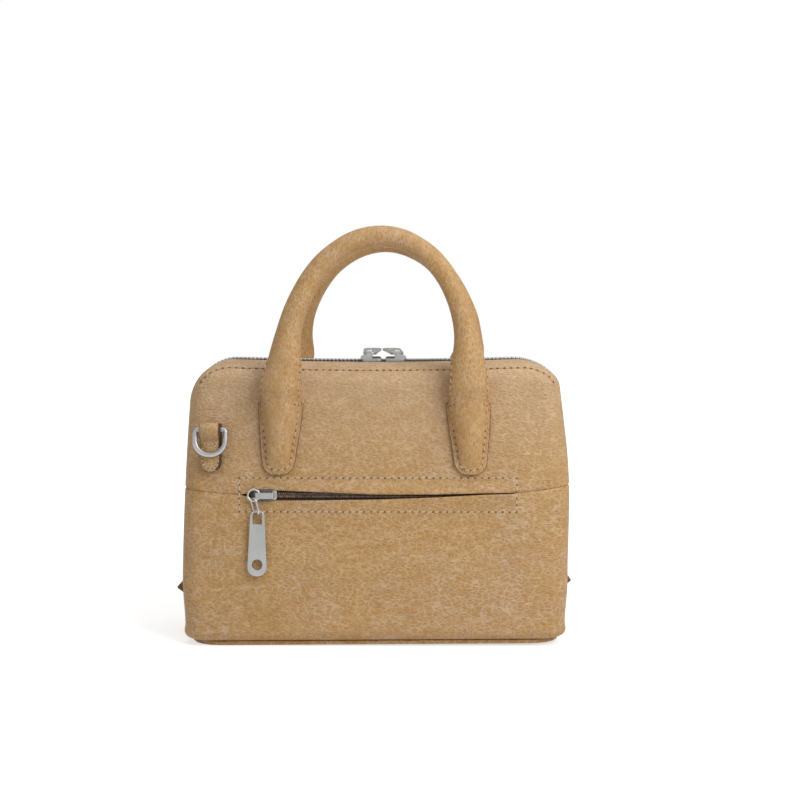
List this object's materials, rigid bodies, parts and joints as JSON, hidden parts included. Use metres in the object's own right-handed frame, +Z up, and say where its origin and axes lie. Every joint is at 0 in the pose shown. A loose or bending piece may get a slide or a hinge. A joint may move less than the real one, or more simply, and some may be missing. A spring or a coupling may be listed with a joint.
{
  "type": "small leather satchel",
  "caption": "Small tan leather satchel with rolled handles, a zip over the top, a zip pocket in front and D-rings for a strap.",
  "frame": {"origin": "centre of the base panel's underside, where the bag stands", "axes": "+Z up, the pocket side faces -Y, +X to the right as seen from the front"},
  "size_m": [0.2378, 0.0898, 0.2412],
  "materials": {
    "tan_leather": "pebbled grain, soft sheen",
    "edge_leather": "dark painted edge",
    "brown_tape": "woven zip tape",
    "nickel": "satin nickel plate",
    "coil": "moulded coil",
    "lining_cloth": "plain woven cloth",
    "board": "plain stiffener board",
    "cord_core": "soft cotton cord"
  },
  "bodies": {
    "bag": {"front_lower_panel": "tan_leather", "front_upper_panel": "tan_leather", "back_lower_panel": "tan_leather", "back_upper_panel": "tan_leather", "base_panel": "tan_leather", "base_board": "board", "front_lining": "lining_cloth", "back_lining": "lining_cloth", "base_lining": "lining_cloth", "slip_pocket": "lining_cloth", "top_zip_tape_front": "brown_tape", "top_zip_tape_back": "brown_tape", "top_zip_teeth_front": "nickel", "top_zip_teeth_back": "nickel", "zip_end_tab_left": "edge_leather", "zip_end_tab_right": "edge_leather", "pocket_zip_tape_upper": "brown_tape", "pocket_zip_tape_lower": "brown_tape", "pocket_zip_teeth_upper": "coil", "pocket_zip_teeth_lower": "coil", "pocket_pouch": "lining_cloth", "front_handle_tab_left": "tan_leather", "front_handle_tab_right": "tan_leather", "back_handle_tab_left": "tan_leather", "back_handle_tab_right": "tan_leather", "ring_tab_front": "tan_leather", "ring_tab_back": "tan_leather"},
    "front_handle": {"front_handle": "tan_leather", "front_handle_core": "cord_core"},
    "back_handle": {"back_handle": "tan_leather", "back_handle_core": "cord_core"},
    "top_slider_left": {"top_slider_left": "nickel"},
    "top_slider_right": {"top_slider_right": "nickel"},
    "top_puller_left": {"top_puller_left": "nickel"},
    "top_puller_right": {"top_puller_right": "nickel"},
    "pocket_slider": {"pocket_slider": "nickel"},
    "pocket_pull_ring": {"pocket_pull_ring": "nickel"},
    "pocket_pull_link": {"pocket_pull_link": "nickel"},
    "pocket_puller": {"pocket_puller": "nickel"},
    "d_ring_front": {"d_ring_front": "nickel"},
    "d_ring_back": {"d_ring_back": "nickel"}
  },
  "joints": [
    {"name": "front_handle_fold", "type": "hinge", "parent": "bag", "child": "front_handle", "pos_m": [0, -0.0362, 0.1523], "axis": [1, 0, 0], "range_deg": [-12, 70]},
    {"name": "back_handle_fold", "type": "hinge", "parent": "bag", "child": "back_handle", "pos_m": [0, 0.0362, 0.1523], "axis": [-1, 0, 0], "range_deg": [-12, 70]},
    {"name": "top_zip_left", "type": "slide", "parent": "bag", "child": "top_slider_left", "axis": [-1, 0, 0], "range_m": [0, 0.032]},
    {"name": "top_zip_right", "type": "slide", "parent": "bag", "child": "top_slider_right", "axis": [1, 0, 0], "range_m": [0, 0.024]},
    {"name": "top_puller_left_flip", "type": "hinge", "parent": "top_slider_left", "child": "top_puller_left", "pos_m": [-0.0037, 0, 0.1677], "axis": [1, 0, 0], "range_deg": [0, 150]},
    {"name": "top_puller_right_flip", "type": "hinge", "parent": "top_slider_right", "child": "top_puller_right", "pos_m": [0.0127, 0, 0.1677], "axis": [1, 0, 0], "range_deg": [0, 150]},
    {"name": "pocket_zip", "type": "slide", "parent": "bag", "child": "pocket_slider", "axis": [1, 0, 0], "range_m": [0, 0.13]},
    {"name": "pull_ring_swing", "type": "hinge", "parent": "pocket_slider", "child": "pocket_pull_ring", "pos_m": [-0.0659, -0.03729, 0.08755], "axis": [0, 0.1014, 0.9948], "range_deg": [0, 30]},
    {"name": "pull_link_swing", "type": "hinge", "parent": "pocket_pull_ring", "child": "pocket_pull_link", "pos_m": [-0.0692, -0.03762, 0.08427], "axis": [-1, 0, 0], "range_deg": [0, 45]},
    {"name": "puller_swing", "type": "hinge", "parent": "pocket_pull_link", "child": "pocket_puller", "pos_m": [-0.0692, -0.03823, 0.07837], "axis": [-1, 0, 0], "range_deg": [0, 60]},
    {"name": "d_ring_front_swing", "type": "hinge", "parent": "bag", "child": "d_ring_front", "pos_m": [-0.094, -0.03517, 0.12484], "axis": [-1, 0, 0], "range_deg": [0, 150]},
    {"name": "d_ring_back_swing", "type": "hinge", "parent": "bag", "child": "d_ring_back", "pos_m": [0.094, 0.03517, 0.12484], "axis": [1, 0, 0], "range_deg": [0, 150]}
  ]
}
